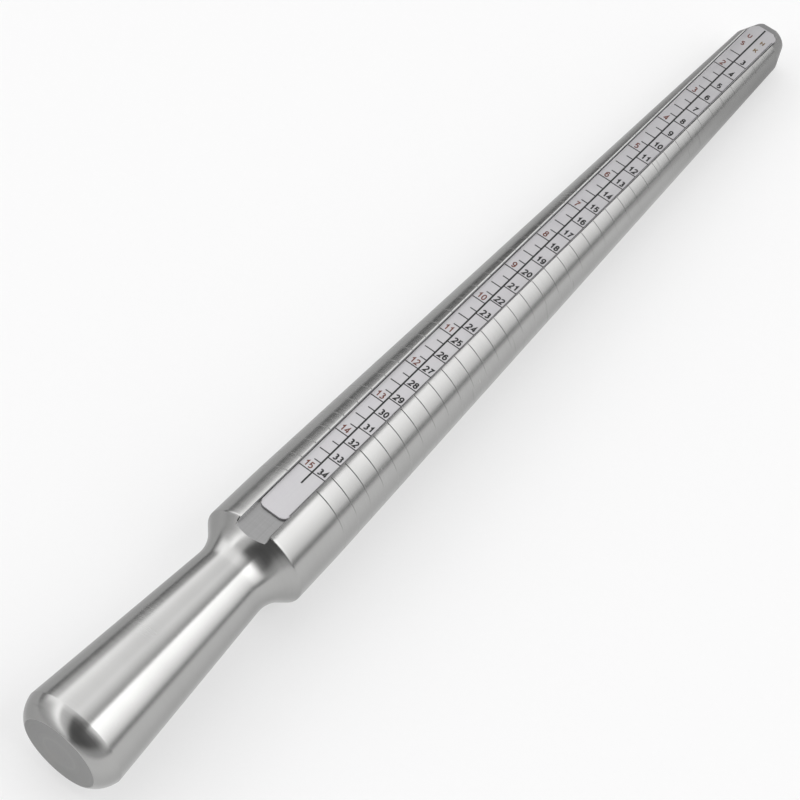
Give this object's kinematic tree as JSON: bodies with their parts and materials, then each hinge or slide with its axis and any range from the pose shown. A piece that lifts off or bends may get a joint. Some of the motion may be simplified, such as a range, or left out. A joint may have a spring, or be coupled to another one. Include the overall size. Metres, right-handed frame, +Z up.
{
  "type": "ring mandrel",
  "caption": "Tapered aluminium ring sizing mandrel with a waisted turned handle, scribed circles and a printed size scale strip set in a long slot.",
  "frame": {"origin": "centre of the flat butt end of the handle, on the bar's axis", "axes": "+Y along the bar's axis towards the tip, +Z up, the way the scale strip faces, +X to the right when looking along +Y"},
  "size_m": [0.0246, 0.2456, 0.0242],
  "materials": {
    "turned_aluminium": "fine turned, satin",
    "strip_aluminium": "matt anodised, pale grey",
    "adhesive": "clear acrylic tape",
    "black_ink": "printed",
    "red_ink": "printed"
  },
  "bodies": {
    "root": {"mandrel_bar": "turned_aluminium", "scale_strip": "strip_aluminium", "adhesive_film": "adhesive"}
  },
  "joints": []
}
